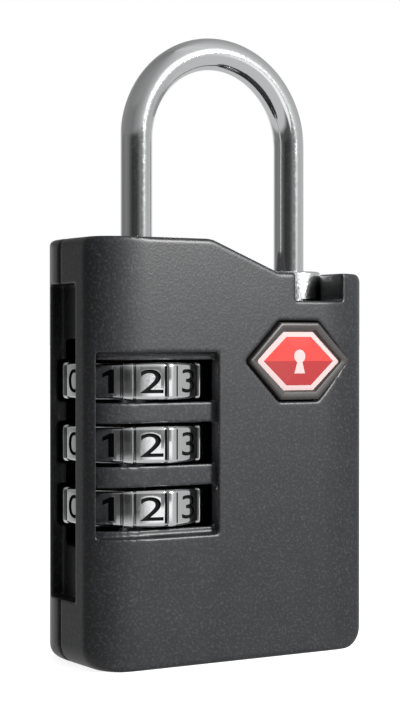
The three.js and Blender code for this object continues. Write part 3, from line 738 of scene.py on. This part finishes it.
dial_master = worked(dial_blank("dial_master"), "DIFFERENCE", [figure_cutter(i) for i in range(DIAL["digits"])])
dial_master.data.materials.clear()
for finish in (chrome, enamel):
    dial_master.data.materials.append(finish)
NEAR = 0.02                     # how closely a face is told apart, in millimetres
for face in dial_master.data.polygons:      # what lies inside a figure is enamel
    x, y, z = face.center / MM
    bearing = math.degrees(math.atan2(x, -y))
    flat_middle = ZERO_AT + 36 * round((bearing - ZERO_AT) / 36)
    off = math.radians(bearing - flat_middle)
    rise, across = math.hypot(x, y) * math.cos(off), math.hypot(x, y) * math.sin(off)
    floor = DIAL["flat"] - FIGURE["depth"] - NEAR
    out = Vector((math.sin(math.radians(flat_middle)), -math.cos(math.radians(flat_middle)), 0))
    sunk = floor < rise < DIAL["flat"] - NEAR
    wall = floor < rise < DIAL["flat"] + DIAL["crown"] + NEAR / 2 and abs(face.normal.dot(out)) < 0.3
    inside = abs(z) < FIGURE["height"] / 2 + 0.05 and abs(across) < FIGURE["reach"]
    face.material_index = 1 if inside and (sunk or wall) else 0
dial_master.data.shade_smooth()
dial_master.data.set_sharp_from_angle(angle=math.radians(28))
for row, height in DIAL_HEIGHTS.items():
    dial = bpy.data.objects.new(f"number_dial_{row}", dial_master.data.copy())
    scene.collection.objects.link(dial)
    dial.data.transform(Matrix.Translation(Vector((*DIAL_AXIS, height)) * MM))
    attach(dial, f"{row}_dial")
    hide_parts(f"dial_{row}")
bpy.data.objects.remove(dial_master)

# ---- badge -------------------------------------------------------------------------------------
# A long six-sided badge let into the front: a moulded rim with bevelled edges, and inside it a print
# under a clear domed resin. The print is a plain keyhole on two reds with a pale border.
BEZEL = {"half": 5.68, "edge": 2.12, "rise": 3.6}
PLATE = {"half": 4.72, "edge": 1.66, "rise": 2.72}
BADGE_FLOOR = -6.45
BEZEL_STEPS = [(0.0, BADGE_FLOOR), (0.0, -7.1), (-0.05, -7.21), (-0.14, -7.27), (-0.3, -7.29), (-0.72, -7.23)]
DOME = {"edge": 6.92, "rise": 0.26, "rings": 10}

# Satin black ABS, moulded and lightly bead blasted.
rim_black, tree, shader, place = new_finish("satin_black_abs", Roughness=0.38)
blast = add_node(tree, "ShaderNodeTexNoise", {"Vector": place, "Scale": per_mm(0.12), "Detail": 2.0})
rim_tone = add_node(tree, "ShaderNodeMix", {0: blast.outputs["Fac"], 6: linear("#262322"), 7: linear("#423E3B")},
                    data_type="RGBA")
rim_bump = add_node(tree, "ShaderNodeBump", {"Height": blast.outputs["Fac"], "Strength": 0.15, "Distance": 0.02 * MM})
tree.links.new(rim_tone.outputs[2], shader.inputs["Base Color"])
tree.links.new(rim_bump.outputs["Normal"], shader.inputs["Normal"])

rings = [[(x, y, z) for x, z in hexagon(BEZEL, grow)] for grow, y in BEZEL_STEPS]
rings += [[(x, y, z) for x, z in hexagon(PLATE, 0.02)] for y in (-7.0, BADGE_FLOOR)]
count = len(rings[0])
bezel_faces = []
for r in range(len(rings)):
    after = (r + 1) % len(rings)
    bezel_faces += [(r * count + k, r * count + (k + 1) % count, after * count + (k + 1) % count, after * count + k)
                    for k in range(count)]
bezel = outward(new_piece("badge_rim", [p for ring in rings for p in ring], bezel_faces))
bezel.data.shade_smooth()
bezel.data.set_sharp_from_angle(angle=math.radians(30))
finished(bezel, rim_black, "casing", "badge_bezel", "badge_bezel")

# Screen print under polyurethane resin: flat colour with a clear, glossy coat.
RESIN_COAT = {"Coat_Weight": 1.0, "Coat_Roughness": 0.04, "Roughness": 0.7, "Specular_IOR_Level": 0.05}
PRINT = {"border": 0.83, "bright": "#D44540", "deep": "#A93335", "pale": "#D5BDBB"}
KEYHOLE = {"z": 0.45, "radius": 0.62, "foot": -1.15, "waist": 0.12, "flare": 0.3}
badge_print, tree, shader, place = new_finish("domed_print", **RESIN_COAT)
bx, bz = BADGE_MIDDLE
centred = add_node(tree, "ShaderNodeMapping", {"Vector": place, "Location": (-bx, 0, -bz), "Scale": (1 / MM,) * 3})
at = add_node(tree, "ShaderNodeSeparateXYZ", {"Vector": centred.outputs[0]})


def reckon(operation, *values):
    """One step of sums on the print's own coordinates, in millimetres."""
    return add_node(tree, "ShaderNodeMath", dict(enumerate(values)), operation=operation).outputs[0]


across, up = reckon("ABSOLUTE", at.outputs["X"]), at.outputs["Z"]
high = reckon("ABSOLUTE", up)
slant = reckon("ADD", reckon("MULTIPLY", across, PLATE["rise"]),
               reckon("MULTIPLY", high, PLATE["half"] - PLATE["edge"]))
slant = reckon("DIVIDE", slant, PLATE["half"] * PLATE["rise"])
reach = reckon("MAXIMUM", slant, reckon("DIVIDE", high, PLATE["rise"]))
border = reckon("GREATER_THAN", reach, PRINT["border"])
off_eye = reckon("ABSOLUTE", reckon("SUBTRACT", up, KEYHOLE["z"]))
from_eye = reckon("SQRT", reckon("ADD", reckon("POWER", across, 2.0), reckon("POWER", off_eye, 2.0)))
eye = reckon("LESS_THAN", from_eye, KEYHOLE["radius"])
below_eye = reckon("SUBTRACT", KEYHOLE["z"], up)
half_foot = reckon("ADD", reckon("MULTIPLY", below_eye, KEYHOLE["flare"]), KEYHOLE["waist"])
within = reckon("MULTIPLY", reckon("GREATER_THAN", up, KEYHOLE["foot"]), reckon("LESS_THAN", up, KEYHOLE["z"]))
foot = reckon("MULTIPLY", reckon("LESS_THAN", across, half_foot), within)
pale = reckon("MAXIMUM", border, reckon("MAXIMUM", eye, foot))
split = reckon("GREATER_THAN", up, 0.0)
reds = add_node(tree, "ShaderNodeMix", {0: split, 6: linear(PRINT["deep"]), 7: linear(PRINT["bright"])},
                data_type="RGBA")
printed = add_node(tree, "ShaderNodeMix", {0: pale, 6: reds.outputs[2], 7: linear(PRINT["pale"])}, data_type="RGBA")
tree.links.new(printed.outputs[2], shader.inputs["Base Color"])

outline = hexagon(PLATE, 0.0, 0.15)
dome_rings = [[(x, BADGE_FLOOR, z) for x, z in outline], [(x, -DOME["edge"], z) for x, z in outline]]
for k in range(1, DOME["rings"]):
    share = 1 - k / DOME["rings"]
    y = -DOME["edge"] - DOME["rise"] * (1 - share ** 2)
    dome_rings.append([(bx + (x - bx) * share, y, bz + (z - bz) * share) for x, z in outline])
dome = lofted("badge_print", dome_rings)
dome.data.shade_smooth()
dome.data.set_sharp_from_angle(angle=math.radians(40))
finished(dome, badge_print, "casing", "badge_face", "badge_plate")

# ---- key cylinder ------------------------------------------------------------------------------
# The pass key's lock in the base: a brass housing, and in it a plated plug with a keyway and slots
# for four brass wafers, and a steel cam on its tail.
LOCK = {"housing": 2.8, "plug": 2.0, "face": 0.35, "top": 13.4}
KEYWAY = {"half": 0.4, "length": 1.6, "top": 10.6}
WAFER_HEIGHTS = (3.2, 5.1, 7.0, 8.9)

# Turned brass: warm yellow, fine rings from the tool, a little tarnish in patches.
brass, tree, shader, place = new_finish("turned_brass", Metallic=1.0)
rings_seen = add_node(tree, "ShaderNodeTexNoise", {"Vector": add_node(
    tree, "ShaderNodeMapping", {"Vector": place, "Scale": (0.1, 0.1, 1.0)}).outputs[0], "Scale": per_mm(0.1)})
tarnish = add_node(tree, "ShaderNodeTexNoise", {"Vector": place, "Scale": per_mm(1.2), "Detail": 3.0})
brassy = add_node(tree, "ShaderNodeMix", {0: tarnish.outputs["Fac"], 6: linear("#A08750"), 7: linear("#7A6232")},
                  data_type="RGBA")
worn = add_node(tree, "ShaderNodeMapRange", {"Value": rings_seen.outputs["Fac"], "To Min": 0.2, "To Max": 0.42})
tree.links.new(brassy.outputs[2], shader.inputs["Base Color"])
tree.links.new(worn.outputs[0], shader.inputs["Roughness"])

housing = turned("key_cylinder_housing", [
    (LOCK["plug"] + 0.15, LOCK["face"]), *rounded_end(LOCK["housing"], LOCK["face"], 0.2, -1)[::-1],
    (LOCK["housing"], LOCK["top"]), (LOCK["plug"] + 0.15, LOCK["top"])], 80)
housing.data.transform(Matrix.Translation(Vector((LOCK_X, 0, 0)) * MM))
housing.data.shade_smooth()
housing.data.set_sharp_from_angle(angle=math.radians(40))
finished(housing, brass, "casing", "brass", "key_housing")

plug = turned("key_plug_turned", [(0, LOCK["face"]), *rounded_end(LOCK["plug"], LOCK["face"], 0.15, -1)[::-1],
                                  (LOCK["plug"], LOCK["top"] + 0.6), (0, LOCK["top"] + 0.6)], 72)
plug.data.transform(Matrix.Translation(Vector((LOCK_X, 0, 0)) * MM))
worked(plug, "UNION", [block(LOCK_X - 0.6, LOCK_X + 0.6, -0.6, 0.6, LOCK["top"] + 0.5, LOCK["top"] + 2.6)])
worked(plug, "DIFFERENCE", [block(LOCK_X - KEYWAY["half"], LOCK_X + KEYWAY["half"], -KEYWAY["length"],
                                  KEYWAY["length"], -1, KEYWAY["top"])]
       + [block(LOCK_X - 1.2, LOCK_X + 1.2, -3, 3, z - 0.45, z + 0.45) for z in WAFER_HEIGHTS])
plug.data.shade_smooth()
plug.data.set_sharp_from_angle(angle=math.radians(30))
finished(plug, chrome, "key_core", "chrome", "key_plug")

# ---- springs -----------------------------------------------------------------------------------
# Drawn music wire: the long coil under the stop ring that lifts the shackle, and the short coil that
# holds the latch home.
SHACKLE_COIL = {"radius": 2.05, "wire": 0.27, "low": 6.37, "high": 22.1, "turns": 7}
LATCH_COIL = {"radius": 0.75, "wire": 0.15, "from_x": -13.2, "to_x": -10.0, "turns": 5, "z": 35.3}
COIL_STEPS = 28                 # points in each turn

# Oil-tempered spring steel, drawn: dark grey, with a soft sheen.
spring_steel, tree, shader, place = new_finish("spring_steel", Metallic=1.0)
scale_marks = add_node(tree, "ShaderNodeTexNoise", {"Vector": place, "Scale": per_mm(0.5), "Detail": 3.0})
steely = add_node(tree, "ShaderNodeMix", {0: scale_marks.outputs["Fac"], 6: linear("#7A7B7E"), 7: linear("#9FA0A3")},
                  data_type="RGBA")
drawn = add_node(tree, "ShaderNodeMapRange", {"Value": scale_marks.outputs["Fac"], "To Min": 0.25, "To Max": 0.45})
tree.links.new(steely.outputs[2], shader.inputs["Base Color"])
tree.links.new(drawn.outputs[0], shader.inputs["Roughness"])


def coil_path(radius, turns, length):
    steps = int(turns * COIL_STEPS)
    return [(radius * math.cos(2 * math.pi * turns * k / steps), radius * math.sin(2 * math.pi * turns * k / steps),
             length * k / steps) for k in range(steps + 1)]


long_coil = [(x + LONG_LEG_X, y, z + SHACKLE_COIL["low"]) for x, y, z in
             coil_path(SHACKLE_COIL["radius"], SHACKLE_COIL["turns"], SHACKLE_COIL["high"] - SHACKLE_COIL["low"])]
short_coil = [(z + LATCH_COIL["from_x"], y, -x + LATCH_COIL["z"]) for x, y, z in
              coil_path(LATCH_COIL["radius"], LATCH_COIL["turns"], LATCH_COIL["to_x"] - LATCH_COIL["from_x"])]
for name, path, wire, node, mover in (
        ("shackle_lift_coil", long_coil, SHACKLE_COIL["wire"], "shackle_spring", "shackle_bow"),
        ("latch_return_coil", short_coil, LATCH_COIL["wire"], "latch_spring", "latch")):
    coil = wire_along(name, path, wire, 14, [1.0] * len(path))
    coil.data.shade_smooth()
    coil.data.set_sharp_from_angle(angle=math.radians(50))
    coil.data.materials.clear()
    coil.data.materials.append(spring_steel)
    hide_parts(node)
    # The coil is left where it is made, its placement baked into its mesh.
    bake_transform(coil)

# ---- works inside ------------------------------------------------------------------------------
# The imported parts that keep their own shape: brass sleeves in the dials and wafers in the key plug,
# the zinc-plated latch plate, spindle and cam, and the spring-steel detent leaf and stop ring.
# Zinc plate, bright dipped: cool grey with a crystalline mottle about a millimetre across.
zinc_plate, tree, shader, place = new_finish("zinc_plated_steel", Metallic=1.0)
spangle = add_node(tree, "ShaderNodeTexVoronoi", {"Vector": place, "Scale": per_mm(0.9)})
zincy = add_node(tree, "ShaderNodeMix", {0: spangle.outputs["Distance"], 6: linear("#A9ACB0"), 7: linear("#8C9095")},
                 data_type="RGBA")
dipped = add_node(tree, "ShaderNodeMapRange", {"Value": spangle.outputs["Distance"], "To Min": 0.28, "To Max": 0.42})
tree.links.new(zincy.outputs[2], shader.inputs["Base Color"])
tree.links.new(dipped.outputs[0], shader.inputs["Roughness"])

# The sleeves are brass too, their colour painted near black as painted shade, so the gaps beside the dials read dark.
shade_darkened_brass, tree, shader, place = new_finish("blackened_brass", Metallic=1.0, Roughness=0.5)
shade_mottle = add_node(tree, "ShaderNodeTexNoise", {"Vector": place, "Scale": per_mm(0.6), "Detail": 2.0})
painted_shade_tone = add_node(tree, "ShaderNodeMix", {0: shade_mottle.outputs["Fac"], 6: linear("#1C1812"), 7: linear("#3A3222")},
                 data_type="RGBA")
tree.links.new(painted_shade_tone.outputs[2], shader.inputs["Base Color"])

# The dial sleeves take the brass painted dark as painted shade for the gaps by the dials.
KEPT_PARTS = {"dial_sleeve_top": shade_darkened_brass, "dial_sleeve_middle": shade_darkened_brass, "dial_sleeve_bottom": shade_darkened_brass,
              "key_wafer_1": brass, "key_wafer_2": brass, "key_wafer_3": brass, "key_wafer_4": brass,
              "latch_plate": zinc_plate, "dial_spindle": zinc_plate, "key_cam": zinc_plate,
              "detent_spring": spring_steel, "shackle_stop_ring": spring_steel}
for name, finish in KEPT_PARTS.items():
    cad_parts[name].data.materials.clear()
    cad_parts[name].data.materials.append(finish)
